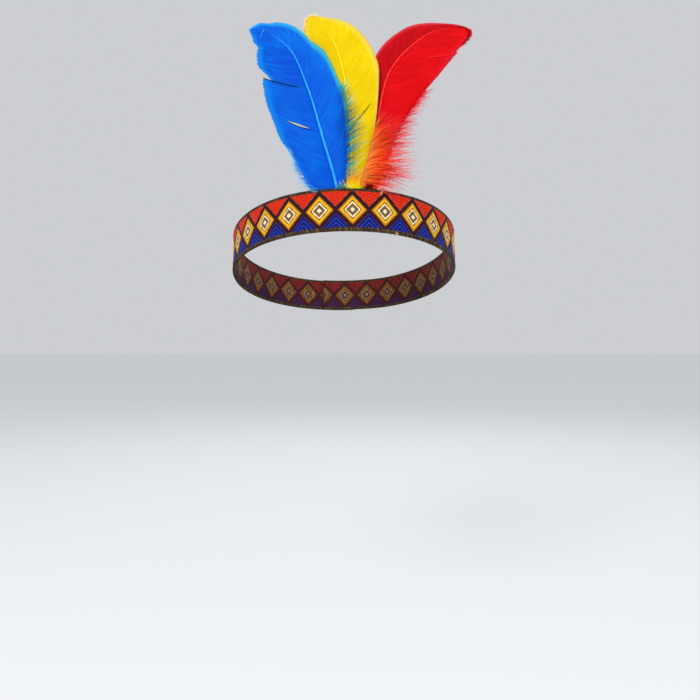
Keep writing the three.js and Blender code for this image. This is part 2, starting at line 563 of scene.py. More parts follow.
def surface_depth(feather, up):
    """Where a feather's surface lies, front to back, at a height above the ribbon's middle."""
    depth, lean, curl = feather["surface"]
    above = np.maximum(0, up - RIBBON_HEIGHT / 2)
    return depth + lean * above + curl * above**2


def shaft_line(feather, count=160):
    points = [(across, surface_depth(feather, up), up) for across, up in feather["shaft"]]
    return smooth_through(points, count)


def rim_line(feather, half, count=160):
    """The outline of one half of a vane, folded and cupped back from its shaft. The two halves
    come level with each other towards the tip."""
    line = smooth_through(half["rim"], count)
    shaft = shaft_line(feather)[:, [0, 2]]
    reach = np.array([np.linalg.norm(shaft - point, axis=1).min() for point in line])
    to_tip = np.linspace(1, 0, count)
    fade = np.clip(to_tip / TIP_SHARE, 0, 1)
    lift = (half["fold"] * reach + half["cup"] * reach**2) * fade
    depth = surface_depth(feather, line[:, 1]) + lift
    return np.column_stack([line[:, 0], depth, line[:, 1]])


# ---------------------------------------------------------------- finishing pieces

WEAR = Matrix.Rotation(-WORN_TILT, 4, "X") @ Matrix.Scale(0.001, 4)


def wear(piece, slot, *nodes):
    """Turns a finished piece to metres, tips it back as it is worn, and fastens it."""
    piece.data.transform(WEAR)
    piece.data.update()
    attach(piece, "root")
    if nodes:
        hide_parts(*nodes)
    return piece


def remove(*objects):
    for thing in objects:
        bpy.data.objects.remove(thing)


def gather(name, parts):
    """Several meshes as one."""
    with bpy.context.temp_override(active_object=parts[0], selected_editable_objects=parts):
        bpy.ops.object.join()
    parts[0].name = name
    parts[0].data.name = name
    return parts[0]


# ---------------------------------------------------------------- colours


def dye(code):
    """A colour written as #RRGGBB, as the linear one that shaders take."""
    parts = [int(code[i : i + 2], 16) / 255 for i in (1, 3, 5)]
    linear = [c / 12.92 if c <= 0.04045 else ((c + 0.055) / 1.055) ** 2.4 for c in parts]
    return (*linear, 1.0)


def new_material(name):
    material = bpy.data.materials.new(name)
    material.use_nodes = True
    return material, Graph(material.node_tree), material.node_tree.nodes["Principled BSDF"]


def use_group(graph, group, inputs):
    node = graph.node("ShaderNodeGroup", node_tree=group.tree)
    for label, value in inputs.items():
        graph.feed(node.inputs[label], value)
    return node


def bump(graph, height, distance, strength=1.0):
    """The normal of a surface with fine relief, its depth in metres."""
    inputs = {"Height": height, "Distance": distance, "Strength": strength}
    return graph.get("ShaderNodeBump", inputs)


# ---------------------------------------------------------------- the ribbon's shape


def ribbon_centre(share):
    """The middle of the ribbon's thickness, from its outer end, by the front, to its inner end."""
    lap = LAP_LENGTH / LOOP_HALF_WIDTH
    ease = LAP_EASE / LOOP_HALF_WIDTH
    angle = (2 * share - 1) * (math.pi + lap / 2)
    lap_start = math.pi - lap / 2
    t = np.clip((angle - lap_start + ease) / ease, 0, 1)
    inset = RIBBON_THICKNESS / 2 + t * t * (3 - 2 * t) * (RIBBON_THICKNESS + LAYER_GAP)
    power = 2 / LOOP_SQUARENESS
    across = (LOOP_HALF_WIDTH - inset) * np.sign(np.sin(angle)) * np.abs(np.sin(angle)) ** power
    along = -(LOOP_HALF_DEPTH - inset) * np.sign(np.cos(angle)) * np.abs(np.cos(angle)) ** power
    return np.column_stack([across, along, np.zeros_like(across)])


def ribbon_frame(count):
    """Stations equally far apart: their places, outward directions, and distances from the front."""
    shares = np.linspace(0, 1, 6001)
    fine = ribbon_centre(shares)
    run = distances(fine)
    centre = even(fine, count)
    tangent = np.gradient(centre, axis=0)
    tangent /= np.linalg.norm(tangent, axis=1)[:, None]
    outwards = np.column_stack([tangent[:, 1], -tangent[:, 0], np.zeros(count)])
    return centre, outwards, np.linspace(0, run[-1], count) - np.interp(0.5, shares, run)


def ribbon_section():
    """Once round the ribbon's cross-section: how far out, how high, and 1 on the outer face."""
    out = RIBBON_THICKNESS / 2
    up = RIBBON_HEIGHT / 2 - EDGE_THREAD_RADIUS
    r = EDGE_ROUNDING
    turn = np.linspace(0, math.pi / 2, 4)
    corner = np.column_stack([out - r + r * np.cos(turn), up - r + r * np.sin(turn)])
    outer = np.column_stack([np.full(OUTER_ROWS, out), np.linspace(r - up, up - r, OUTER_ROWS)])
    inner = np.column_stack([np.full(INNER_ROWS, -out), np.linspace(up - r, r - up, INNER_ROWS)])
    ring = np.vstack(
        [
            outer,
            corner[1:],
            (corner * (-1, 1))[::-1][:-1],
            inner,
            (corner * (-1, -1))[1:],
            (corner * (1, -1))[::-1][:-1],
        ]
    )
    face = (ring[:, 0] > out - 1e-6).astype(float)
    return ring[:, 0], ring[:, 1], face


def figure_measure(run, up):
    along = np.abs(((run - FIGURE_SHIFT) / FIGURE_PITCH + 0.5) % 1 - 0.5) * 2
    return along + np.abs(up - FIGURE_MIDDLE) / FIGURE_HALF_HEIGHT


def woven_relief(run, up):
    """How far the figure stands out of the outer face: pillowed bands, sunk lattice, ribs."""
    measure = figure_measure(run, up)
    places, heights = zip(*FIGURE_RELIEF)
    relief = np.interp(measure, places, heights)
    pitch = np.where(up > FIGURE_MIDDLE, RED_RIB_PITCH, BLUE_RIB_PITCH)
    ribs = RIB_DEPTH * np.cos(2 * math.pi * (measure - LATTICE_OUTER) / pitch)
    relief = relief + np.where(measure > LATTICE_OUTER, ribs, 0)
    half = RIBBON_HEIGHT / 2
    inside_edges = (up < half - TOP_SELVEDGE) & (up > BOTTOM_SELVEDGE - half)
    return np.where(inside_edges, relief, 0)


def make_ribbon(material):
    centre, outwards, run = ribbon_frame(RIBBON_STATIONS)
    out, up, face = ribbon_section()
    count = len(out)
    run_grid, up_grid = np.meshgrid(run, up, indexing="ij")
    relief = woven_relief(run_grid, up_grid) * face
    wave = sum(rise * np.sin(run_grid / length + start) for rise, length, start in EDGE_WAVES)
    reach = out[None, :] + relief
    places = centre[:, None, :] + outwards[:, None, :] * reach[:, :, None]
    places[:, :, 2] = up_grid + wave
    faces = []
    for i in range(RIBBON_STATIONS - 1):
        for j in range(count):
            k = (j + 1) % count
            faces.append((i * count + j, (i + 1) * count + j, (i + 1) * count + k, i * count + k))
    last = (RIBBON_STATIONS - 1) * count
    faces.append(tuple(range(count)))
    faces.append(tuple(last + j for j in reversed(range(count))))
    mesh = bpy.data.meshes.new("ribbon")
    mesh.from_pydata(places.reshape(-1, 3).tolist(), [], faces)
    face_grid = np.broadcast_to(face, run_grid.shape)
    for name, values in (("run", run_grid), ("up", up_grid), ("face", face_grid)):
        mesh.attributes.new(name, "FLOAT", "POINT").data.foreach_set("value", values.ravel())
    mesh.shade_smooth()
    mesh.materials.append(material)
    return wear(add_object("ribbon", mesh), "woven_ribbon", "band")


# ---------------------------------------------------------------- the ribbon's weave


def make_weave_group():
    """The woven figure in thread colours, for the outer face and, faded, for the inner one."""
    outputs = {"Color": ["Colour"], "Float": ["Height"]}
    g = Group("Diamond weave", "ShaderNodeTree", {}, outputs)
    run = g.attribute("run")
    up = g.attribute("up")
    face = g.attribute("face")
    column = g.maths("FLOOR", run / WARP_PITCH)
    offset = g.maths("MODULO", g.maths("ABSOLUTE", column), 2.0) * 0.5
    row = g.maths("FLOOR", up / WEFT_PITCH + offset)
    thread_run = (column + 0.5) * WARP_PITCH
    thread_up = (row + 0.5 - offset) * WEFT_PITCH

    share = g.maths("FRACT", (thread_run - FIGURE_SHIFT) / FIGURE_PITCH + 100.5)
    along = g.maths("ABSOLUTE", share - 0.5) * 2.0
    height = thread_up - FIGURE_MIDDLE
    measure = along + g.maths("ABSOLUTE", height) / FIGURE_HALF_HEIGHT
    diamond = g.steps(
        measure / LATTICE_OUTER,
        [(place / LATTICE_OUTER, dye(code)) for place, code in DIAMOND_THREADS],
    )
    triangle_share = measure - LATTICE_OUTER
    red_rib = g.maths("COSINE", triangle_share * (2 * math.pi / RED_RIB_PITCH))
    red = g.blend(g.ramp(red_rib, -0.5, 0.5), dye("#8A0A04"), dye("#F43404"))
    red = g.blend(g.above(0.04, triangle_share), red, dye("#F8582C"))
    blue_rib = g.maths("COSINE", triangle_share * (2 * math.pi / BLUE_RIB_PITCH))
    blue = g.blend(g.ramp(blue_rib, 0.1, 0.9), dye("#02044C"), dye("#163CB8"))
    blue = g.blend(g.above(0.05, triangle_share), blue, dye("#3A2890"))
    triangle = g.blend(g.above(height, 0.0), blue, red)
    figure = g.blend(g.above(measure, LATTICE_OUTER), diamond, triangle)

    half = RIBBON_HEIGHT / 2
    in_top = g.above(up, half - TOP_SELVEDGE)
    edge = g.maths("MAXIMUM", in_top, g.above(BOTTOM_SELVEDGE - half, up))
    speck = g.cell_tone(column, row)
    selvedge = g.steps(speck, [(place, dye(code)) for place, code in EDGE_THREADS])
    front = g.blend(edge, figure, selvedge)

    long_float = g.noise(g.vector(run * 0.5, up * 3.2, 0.0), 1.0, 2.0, "2D")
    faded = g.blend(0.55, figure, dye("#4A1C20"))
    back = g.blend(g.ramp(long_float, 0.42, 0.6), dye("#3A1418"), faded)
    back = g.blend(edge, back, selvedge)
    colour = g.blend(face, back, front)
    g.give("Colour", g.shaded(colour, speck * 0.34 + 0.83))

    warp = g.maths("ABSOLUTE", g.maths("SINE", run * (math.pi / WARP_PITCH)))
    weft = g.maths("ABSOLUTE", g.maths("SINE", (up / WEFT_PITCH + offset) * math.pi))
    g.give("Height", g.maths("POWER", warp, 0.6) * (0.55 + 0.45 * weft) + speck * 0.15)
    return g


def ribbon_material():
    material, g, shader = new_material("woven_ribbon")
    weave = use_group(g, make_weave_group(), {})
    g.feed(shader.inputs["Base Color"], g.wire(weave, "Colour"))
    g.feed(shader.inputs["Normal"], bump(g, g.wire(weave, "Height"), 0.00016, 0.7))
    g.feed(shader.inputs["Roughness"], g.ramp(g.wire(weave, "Height"), 0.0, 1.0, 0.8, 0.5))
    shader.inputs["Specular IOR Level"].default_value = 0.12
    return material


# ---------------------------------------------------------------- threads round the edges


def make_binding_group():
    """Threads laid side by side over an edge of the ribbon, each from its outer face over the
    edge and down its inner face."""
    g = GeometryGroup(
        "Edge threads",
        {
            "Object": ["Middle Line"],
            "Int": ["Threads", "Seed"],
            "Float": ["Edge", "Hand", "Width", "Thread Radius", "Half Thickness", "Slant"],
        },
    )
    order = (g.index() + 0.5) / g["Threads"]
    points = g.points(g["Threads"], thread=order, tone=g.random(g.index(), 1, 0.0, 1.0))
    rods, x, y, length = g.rods(points, 5, 8)
    rods = g.store(rods, "along", length)
    along = g.named("along")
    tone = g.named("tone")
    turn = along * math.pi
    cosine = g.maths("COSINE", turn)
    sine = g.maths("MAXIMUM", g.maths("SINE", turn), 0.0)
    ends = g.ramp(sine, 0.0, 0.25, 0.45, 1.0)
    reach = g.maths("SIGN", cosine) * g.maths("POWER", g.maths("ABSOLUTE", cosine), 0.4)
    rise = g.maths("POWER", sine, 0.55)
    lift = y * g["Thread Radius"] * ends
    out = reach * g["Half Thickness"] + cosine * lift
    width = g["Width"] * (0.9 + 0.2 * tone)
    up = g["Hand"] * (g["Edge"] - width + rise * width + sine * lift)
    shift = g["Slant"] * (along - 0.5) + (tone - 0.5) * 0.25
    centre, tangent = g.sampled(g.guide("Middle Line"), g.named("thread") + shift / g["Threads"])
    tx, ty, _ = g.parts(tangent)
    outwards = g.vector(ty, tx * -1.0, 0.0)
    place = centre + outwards * out + tangent * (x * g["Thread Radius"] * ends)
    g.finish(g.place(rods, place + g.vector(0.0, 0.0, up)))
    return g


def thread_material(name, codes):
    """Spun thread: a tone for each stitch, and the twist of its plies, which also paints shade
    into the grooves between them.
    """
    material, g, shader = new_material(name)
    tone = g.attribute("tone")
    plain = g.steps(tone, [(i / len(codes), dye(code)) for i, code in enumerate(codes)])
    twist = g.maths("SINE", (g.attribute("along") * 9.0 + tone * 20.0) * math.pi)
    # Painted shade: the colour darkens where the twist sinks into the grooves between the plies.
    g.feed(shader.inputs["Base Color"], g.shaded(plain, g.ramp(twist, -1.0, 0.6, 0.7, 1.0)))
    g.feed(shader.inputs["Normal"], bump(g, twist, 0.00008, 0.5))
    shader.inputs["Roughness"].default_value = 0.7
    shader.inputs["Specular IOR Level"].default_value = 0.3
    return material


def bind_edge(name, group, material, width, stretch=(-math.inf, math.inf), **habit):
    """Edge threads over the stretch of the ribbon between two distances from the front."""
    centre, _, run = ribbon_frame(EDGE_STATIONS)
    line = guide_curve(centre[(run >= stretch[0]) & (run <= stretch[1])])
    inputs = {
        "Middle Line": line,
        "Edge": RIBBON_HEIGHT / 2 - EDGE_THREAD_RADIUS,
        "Width": width - EDGE_THREAD_RADIUS,
        "Half Thickness": RIBBON_THICKNESS / 2 - 0.05,
        **spelled(habit),
    }
    piece = grow(name, group, material, inputs)
    remove(line)
    return piece


def make_edge_threads(material, loose_end):
    group = make_binding_group()
    whole = {"Threads": EDGE_THREADS_ALONG, "Thread_Radius": 0.36, "Slant": 1.6}
    short = {"Threads": 2}
    top = bind_edge("top_edge_threads", group, material, TOP_SELVEDGE, Hand=1.0, Seed=3, **whole)
    wear(top, "woven_ribbon")
    bottom = bind_edge(
        "bottom_edge_threads", group, material, BOTTOM_SELVEDGE, Hand=-1.0, Seed=4, **whole
    )
    wear(bottom, "woven_ribbon")
    upper = {"Hand": 1.0, "Thread_Radius": 0.45, "Slant": 0.4, "Seed": 5}
    lower = {"Hand": -1.0, "Thread_Radius": 0.5, "Slant": 1.5, "Seed": 6}
    ends = [
        bind_edge("end", group, loose_end, 3.1, (16.6, 17.8), **short, **upper),
        bind_edge("end", group, loose_end, 1.4, (25.6, 27.6), **short, **lower),
    ]
    return [top, bottom, wear(gather("loose_thread_ends", ends), "woven_ribbon")]


# ---------------------------------------------------------------- sewn stitches


def make_stitch_group():
    """Arched stitches along a line. Each stands up towards "Facing" and lies across the line."""
    g = GeometryGroup(
        "Sewn stitches",
        {
            "Object": ["Line"],
            "Int": ["Stitches", "Seed"],
            "Vector": ["Facing"],
            "Float": ["Half Span", "Rise", "Thread Radius", "Slant"],
        },
    )
    order = (g.index() + 0.5) / g["Stitches"]
    points = g.points(g["Stitches"], thread=order, tone=g.random(g.index(), 1, 0.0, 1.0))
    rods, x, y, length = g.rods(points, 6, 10)
    rods = g.store(rods, "along", length)
    along = g.named("along")
    shift = (g["Slant"] * (along - 0.5) + (g.named("tone") - 0.5) * 0.2) / g["Stitches"]
    centre, tangent = g.sampled(g.guide("Line"), g.named("thread") + shift)
    across = g.maths("CROSS_PRODUCT", tangent, g["Facing"])
    cosine = g.maths("COSINE", along * math.pi)
    sine = g.maths("MAXIMUM", g.maths("SINE", along * math.pi), 0.0)
    radius = g["Thread Radius"] * g.ramp(sine, 0.0, 0.3, 0.5, 1.0)
    height = g.maths("POWER", sine, 0.5) * g["Rise"] + sine * y * radius
    width = cosine * (g["Half Span"] + y * radius)
    place = centre + across * width + g["Facing"] * height + tangent * (x * radius)
    g.finish(g.place(rods, place))
    return g


STITCH = make_stitch_group()


def make_stitches(line, material, **habit):
    guide = guide_curve(even(np.array(line, float), 12))
    piece = grow("stitches", STITCH, material, {"Line": guide, **spelled(habit)})
    remove(guide)
    return piece


def make_lap_seam(material):
    """Two rows of stitches that hold the lapped ends, one over each cut end of the ribbon."""
    centre, outwards, _ = ribbon_frame(900)
    reach = RIBBON_HEIGHT / 2 - 1.4
    habit = {"Stitches": 15, "Half_Span": 1.1, "Rise": 0.6, "Thread_Radius": 0.24, "Slant": 0.5}
    rows = []
    for index, side in ((0, 1.0), (-1, -1.0)):
        foot = centre[index] + outwards[index] * RIBBON_THICKNESS / 2 * side * 0.6
        line = [foot - (0, 0, reach), foot + (0, 0, reach)]
        facing = tuple(outwards[index] * side)
        rows.append(make_stitches(line, material, Facing=facing, Seed=41, **habit))
    wear(gather("lap_stitches", rows), "woven_ribbon")


def make_quill_ties(material):
    """Turns of thread that hold each quill to the inner face of the ribbon."""
    habit = {"Stitches": 3, "Half_Span": 1.75, "Rise": 2.7, "Thread_Radius": 0.28, "Slant": 0.8}
    ties = []
    for feather in FEATHERS.values():
        line = shaft_line(feather)
        for low, high in ((-5.5, -3.0), (4.0, 6.5)):
            stretch = line[(line[:, 2] > low) & (line[:, 2] < high)] - (0, 1.2, 0)
            ties.append(make_stitches(stretch, material, Facing=(0, 1, 0), Seed=43, **habit))
    wear(gather("quill_ties", ties), "woven_ribbon")


# ---------------------------------------------------------------- feather materials


def make_barb_streaks():
    """Dyed barbs: streaks along each barb, a paler rim, and blotches where the dye took less."""
    g = Group(
        "Barb streaks",
        "ShaderNodeTree",
        {
            "Color": ["Deep", "Dye", "Pale", "Pale Tip"],
            "Float": ["Rim", "Rim From", "Tip From", "Blotches"],
        },
        {"Color": ["Colour"], "Float": ["Roughness", "Height"]},
    )
    along = g.attribute("along")
    barb = g.attribute("barb")
    place = g.get("ShaderNodeTexCoord", output="Object")
    streak = g.noise(g.vector(along * 2.0, barb * 90.0, 0.0), 1.0, 3.0)
    blotch = g.noise(place, 60.0, 2.0)
    tone = streak * 0.45 + g.attribute("tone") * 0.12 + blotch * g["Blotches"]
    body = g.blend(g.ramp(tone, 0.3, 0.75), g["Deep"], g["Dye"])
    rim = g.ramp(along, 0.76, 1.0) * g["Rim"] * g.ramp(barb, g["Rim From"], g["Rim From"] + 0.2)
    pale = g.blend(g.ramp(barb, g["Tip From"], g["Tip From"] + 0.3), g["Pale"], g["Pale Tip"])
    dyed = g.blend(rim, body, pale)
    # The shade attribute is painted shade: it darkens the barbs along the edges of slits.
    g.give("Colour", g.shaded(dyed, 1.0 - g.attribute("shade") * 0.8))
    g.give("Roughness", g.ramp(streak, 0.2, 0.8, 0.5, 0.65))
    g.give("Height", streak)
    return g


BARB_STREAKS = make_barb_streaks()


def let_light_through(g, shader, colour, share):
    output = g.tree.nodes["Material Output"]
    leaf = g.node("ShaderNodeBsdfTranslucent", {"Color": colour})
    mixed = g.node("ShaderNodeMixShader", {0: share, 1: g.wire(shader), 2: g.wire(leaf)})
    g.feed(output.inputs["Surface"], g.wire(mixed))


def feather_material(name, dyes, pale_tip=None, rim=0.5, rim_from=-1.0, through=0.3):
    """The dyes are the deep, the main and the pale one. Barbs let some light through, so a thin
    translucent layer is mixed in. The paler rim starts at the share rim_from of its length, and
    may turn to another colour near the feather's tip."""
    material, g, shader = new_material(name)
    deep, main, pale = [dye(code) for code in dyes]
    inputs = {"Deep": deep, "Dye": main, "Pale": pale, "Pale Tip": dye(pale_tip or dyes[2])}
    inputs.update({"Rim": rim, "Rim From": rim_from, "Tip From": 0.62, "Blotches": 0.35})
    streaks = use_group(g, BARB_STREAKS, inputs)
    shown = g.wire(streaks, "Colour")
    g.feed(shader.inputs["Base Color"], shown)
    g.feed(shader.inputs["Roughness"], g.wire(streaks, "Roughness"))
    g.feed(shader.inputs["Normal"], bump(g, g.wire(streaks, "Height"), 0.0001, 0.4))
    shader.inputs["Specular IOR Level"].default_value = 0.08
    let_light_through(g, shader, shown, through)
    return material


def down_material(name, dyes, contrast=0.2, glow=0.12):
    """Fine down: its dye changes from root over middle to tip, and some strands are darker than
    others, as painted shade among the strands. A faint glow of the same colour is painted light
    that stands in for the light which strand passes on to strand."""
    material, g, shader = new_material(name)
    tone = g.attribute("tone")
    stops = list(zip((0.05, 0.5, 0.95), map(dye, dyes)))
    plain = g.steps(g.attribute("along") + (tone - 0.5) * 0.45, stops, "LINEAR")
    # Painted shade: some strands are darkened to stand for the shade among the strands.
    kept = g.ramp(g.maths("FRACT", tone * 7.0), 0.1, 0.6, 1.0 - contrast, 1.0)
    shown = g.shaded(plain, kept)
    g.feed(shader.inputs["Base Color"], shown)
    # Painted light: the down glows faintly in its own colour.
    g.feed(shader.inputs["Emission Color"], shown)
    shader.inputs["Emission Strength"].default_value = glow
    shader.inputs["Roughness"].default_value = 0.6
    shader.inputs["Specular IOR Level"].default_value = 0.2
    let_light_through(g, shader, shown, 0.5)
    return material


def shaft_material(name, middle, edge):
    """Smooth dyed horn with a fine grain along it."""
    material, g, shader = new_material(name)
    place = g.get("ShaderNodeTexCoord", output="Object")
    grain = g.noise(place * g.vector(900.0, 900.0, 90.0), 1.0, 3.0)
    g.feed(shader.inputs["Base Color"], g.blend(g.ramp(grain, 0.3, 0.7), dye(edge), dye(middle)))
    g.feed(shader.inputs["Roughness"], g.ramp(grain, 0.2, 0.8, 0.3, 0.45))
    g.feed(shader.inputs["Normal"], bump(g, grain, 0.00005, 0.4))
    shader.inputs["Specular IOR Level"].default_value = 0.2
    return material


# ---------------------------------------------------------------- the vane of a feather

# A slit parts the barbs at a share of the rim. It runs from its inner to its outer share of their
# length, opens by its gap, shortens the barbs above it by its notch and lifts them by its step.
# Where it opens or steps, the barbs along its edge get painted shade.
SLIT_PARTS = ("At", "Inner", "Outer", "Gap", "Notch", "Step")
SLITS = (1, 2)
Slit = namedtuple("Slit", [part.lower() for part in SLIT_PARTS], defaults=(0.0, 0.0))
NO_SLIT = Slit(at=-1.0, inner=0.0, outer=1.0, gap=0.0)


def make_vane_group():
    """Barbs side by side from the shaft to the rim. Each is a thin closed blade that is wide
    enough to meet its neighbours, and slits, ragged tips and loose barbs part them."""
    habits = ["Shaft From", "Hand", "Sweep", "Overlap", "Thickness", "Bow", "Cup", "Ripple"]
    habits += ["Ragged", "Loose From", "Loose To", "Loose"]
    slits = [f"Slit {n} {part}" for n in SLITS for part in SLIT_PARTS]
    g = GeometryGroup(
        "Vane of barbs",
        {"Object": ["Shaft", "Rim"], "Int": ["Barbs", "Seed"], "Float": habits + slits},
    )
    order = (g.index() + 0.5) / g["Barbs"]
    points = g.points(g["Barbs"], barb=order, tone=g.random(g.index(), 1, 0.0, 1.0))
    barbs, side, lift, length = g.rods(points, 4, 12)
    barbs = g.store(barbs, "along", length)
    barb = g.named("barb")
    along = g.named("along")
    name = barb * g["Barbs"]
    outer = along * along

    opening = g.ramp(barb, g["Loose From"], g["Loose From"] + 0.08)
    closing = g.ramp(barb, g["Loose To"] - 0.08, g["Loose To"], 1.0, 0.0)
    loose = g["Loose"] * opening * closing
    clump = g.noise(barb * 30.0 + g["Seed"], 1.0, 1.0, "1D") - 0.5
    fine = g.random(name, 2)

    taper = g.ramp(along, 0.93, 1.0, 1.0, 0.25) * (1.0 - loose * along * 0.8)
    across = side * g["Overlap"] * 0.5 / g["Barbs"] * taper
    drift = (fine * 0.006 + clump * 0.03) * loose * outer
    spot = barb + across + drift
    shorter = 0.0
    raised = 0.0
    shade = 0.0
    for n in SLITS:
        away = barb - g[f"Slit {n} At"]
        near = g.maths("MAXIMUM", 1.0 - g.maths("ABSOLUTE", away) / 0.06, 0.0)
        share = (along - g[f"Slit {n} Inner"]) / (g[f"Slit {n} Outer"] - g[f"Slit {n} Inner"])
        kept = g.maths("MINIMUM", g.maths("MAXIMUM", share, 0.0), 1.0)
        lens = g.maths("SINE", kept * math.pi)
        above = g.above(away, 0.0)
        spot = spot + g.maths("SIGN", away) * near * near * lens * g[f"Slit {n} Gap"]
        open_side = g.ramp(away, -0.01, 0.06, 1.0, 0.0) * above
        shorter = shorter + open_side * g[f"Slit {n} Notch"]
        raised = raised + g.ramp(away, 0.0, 0.16, 1.0, 0.0) * above * g[f"Slit {n} Step"] * kept
        # Painted shade along a slit that opens or steps: the barbs at its edge are darkened through
        # the shade attribute.
        edge = g.ramp(g.maths("ABSOLUTE", away + 0.002), 0.0, 0.007, 1.0, 0.0)
        parted = g[f"Slit {n} Gap"] + g[f"Slit {n} Step"]
        shade = shade + edge * g.ramp(lens, 0.0, 0.3) * g.ramp(parted, 0.0, 0.0014)
    barbs = g.store(barbs, "shade", g.maths("MINIMUM", shade, 1.0))

    swept = g.maths("POWER", g.maths("MAXIMUM", spot, 0.0), g["Sweep"])
    root, _ = g.sampled(g.guide("Shaft"), g["Shaft From"] + swept * (VANE_TO - g["Shaft From"]))
    rim, _ = g.sampled(g.guide("Rim"), spot)
    chord = rim - root
    cx, _, cz = g.parts(chord)
    outwards = g.vector(cz * g["Hand"] * -1.0, 0.0, cx * g["Hand"])
    size = g.maths("LENGTH", chord)
    reach = 1.0 + g["Ragged"] * (fine * 0.22 - g.maths("ABSOLUTE", clump) * 0.5) * 0.1
    reach = reach + loose * fine * 0.25 - shorter
    way = along * (1.0 + (reach - 1.0) * along)
    arch = way * (1.0 - way)
    bow = g["Bow"] * g.ramp(barb, 0.75, 1.0, 1.0, 0.0)
    place = root + chord * way + outwards * (arch * bow * -4.0)
    wave = g.noise(place, 0.05, 1.0) - 0.5
    spread = g.random(name, 3) * loose * outer * 2.0
    depth = (
        g["Cup"] * size * size * (arch * -1.0)
        + wave * g["Ripple"] * along
        + spread
        - raised
        - lift * g["Thickness"] * 0.5 * g.ramp(along, 0.0, 1.0, 1.0, 0.5)
    )
    g.finish(g.place(barbs, place + g.vector(0.0, depth, 0.0)))
    return g


VANE = make_vane_group()
VANE_HABIT = {
    "Barbs": 300,
    "Sweep": 1.45,
    "Overlap": 1.9,
    "Thickness": 0.2,
    "Bow": 0.06,
    "Ripple": 2.0,
    "Ragged": 0.5,
    "Loose From": 2.0,
    "Loose To": 3.0,
    "Loose": 0.0,
}


def make_vane(feather_name, side, material, slits=(), **habit):
    feather = FEATHERS[feather_name]
    half = feather[side]
    shaft = guide_curve(shaft_line(feather))
    rim = guide_curve(rim_line(feather, half))
    inputs = {
        **VANE_HABIT,
        "Shaft": shaft,
        "Rim": rim,
        "Shaft From": feather["vane_from"],
        "Hand": 1.0 if side == "right" else -1.0,
        "Cup": half["cup"],
        **spelled(habit),
    }
    for n, slit in zip(SLITS, [*slits, NO_SLIT, NO_SLIT]):
        inputs.update({f"Slit {n} {part}": value for part, value in zip(SLIT_PARTS, slit)})
    piece = grow(f"{feather_name}_barbs_{side}", VANE, material, inputs)
    remove(shaft, rim)
    return wear(piece, f"{feather_name}_vane", f"{feather_name}_vane_{side}")


# ---------------------------------------------------------------- down


def make_plume_group():
    """Fine strands that fan out from a line, each with short barbules along both its sides.
    Directions are angles in the plane of the front, with 0 to the right and a quarter turn up."""
    turns = ["First Turn", "Last Turn", "Scatter", "First Length", "Last Length", "Bend", "Curl"]
    sizes = ["Spread", "Forward", "Thickness", "Barbule Length", "Barbule Thickness"]
    g = GeometryGroup(
        "Plume of down",
        {"Object": ["Line"], "Int": ["Strands", "Barbules", "Seed"], "Float": turns + sizes},
    )
    line = g.guide("Line")

    def strand_path(name, share):
        """The place and the heading, at a share of its length, of the strand with this number."""
        place = (name + 0.5) / g["Strands"] + g.random(name, 1) * 0.06
        mix = g.maths("MINIMUM", g.maths("MAXIMUM", place, 0.0), 1.0)
        turn = g["First Turn"] + (g["Last Turn"] - g["First Turn"]) * mix
        turn = turn + g.random(name, 2) * g["Scatter"]
        full = g["First Length"] + (g["Last Length"] - g["First Length"]) * mix
        reach = full * (0.72 + g.random(name, 3) * 0.28)
        bend = g["Bend"] + g.random(name, 4) * g["Curl"]
        middle = turn + bend * share * 0.5
        sway = (g.noise(name * 3.7 + share * 1.6, 1.0, 1.0, "1D") - 0.5) * share * reach * 0.16
        x = g.maths("COSINE", middle) * reach * share - g.maths("SINE", middle) * sway
        z = g.maths("SINE", middle) * reach * share + g.maths("COSINE", middle) * sway
        y = (g.random(name, 5) * g["Spread"] - g["Forward"]) * share
        root, _ = g.sampled(line, mix)
        return root + g.vector(x, y, z), turn + bend * share

    tone = g.random(g.index(), 6, 0.0, 1.0)
    points = g.points(g["Strands"], strand=g.index() * 1.0, tone=tone)
    strands, x, y, length = g.rods(points, 3, 9)
    strands = g.store(strands, "along", length)
    strand = g.named("strand")
    along = g.named("along")
    centre, heading = strand_path(strand, along)
    thick = g["Thickness"] * g.ramp(along, 0.1, 1.0, 1.0, 0.15)
    across = g.vector(g.maths("SINE", heading) * -1.0, 0.0, g.maths("COSINE", heading))
    strands = g.place(strands, centre + across * (x * thick) + g.vector(0.0, y * thick, 0.0))

    hair = g.named("hair")
    order = hair - strand * g["Barbules"]
    hairs = g.points(
        g["Strands"] * g["Barbules"],
        hair=g.index() * 1.0,
        strand=g.maths("FLOOR", (g.index() + 0.5) / g["Barbules"]),
        tone=g.random(strand, 6, 0.0, 1.0),
        along=0.12 + 0.86 * (order + 0.5) / g["Barbules"],
    )
    hairs, x, y, share = g.rods(hairs, 3, 1)
    centre, heading = strand_path(strand, along)
    side = g.maths("MODULO", order, 2.0) * 2.0 - 1.0
    lean = heading + side * (0.55 + g.random(hair, 7) * 0.2)
    size = g["Barbule Length"] * (1.0 - along * 0.55) * (0.8 + g.random(hair, 8) * 0.3)
    forward = g.vector(g.maths("COSINE", lean), g.random(hair, 9) * 0.5, g.maths("SINE", lean))
    across = g.vector(g.maths("SINE", lean) * -1.0, 0.0, g.maths("COSINE", lean))
    fine = g["Barbule Thickness"] * (1.0 - share * 0.7)
    tip = centre + forward * (size * share)
    hairs = g.place(hairs, tip + across * (x * fine) + g.vector(0.0, y * fine, 0.0))
    g.finish(strands, hairs)
    return g


PLUME = make_plume_group()
PLUME_HABIT = {
    "Strands": 60,
    "Barbules": 30,
    "Scatter": 0.18,
    "Bend": -0.3,
    "Curl": 0.35,
    "Spread": 2.5,
    "Forward": 0.0,
    "Thickness": 0.11,
    "Barbule Length": 1.3,
    "Barbule Thickness": 0.035,
}


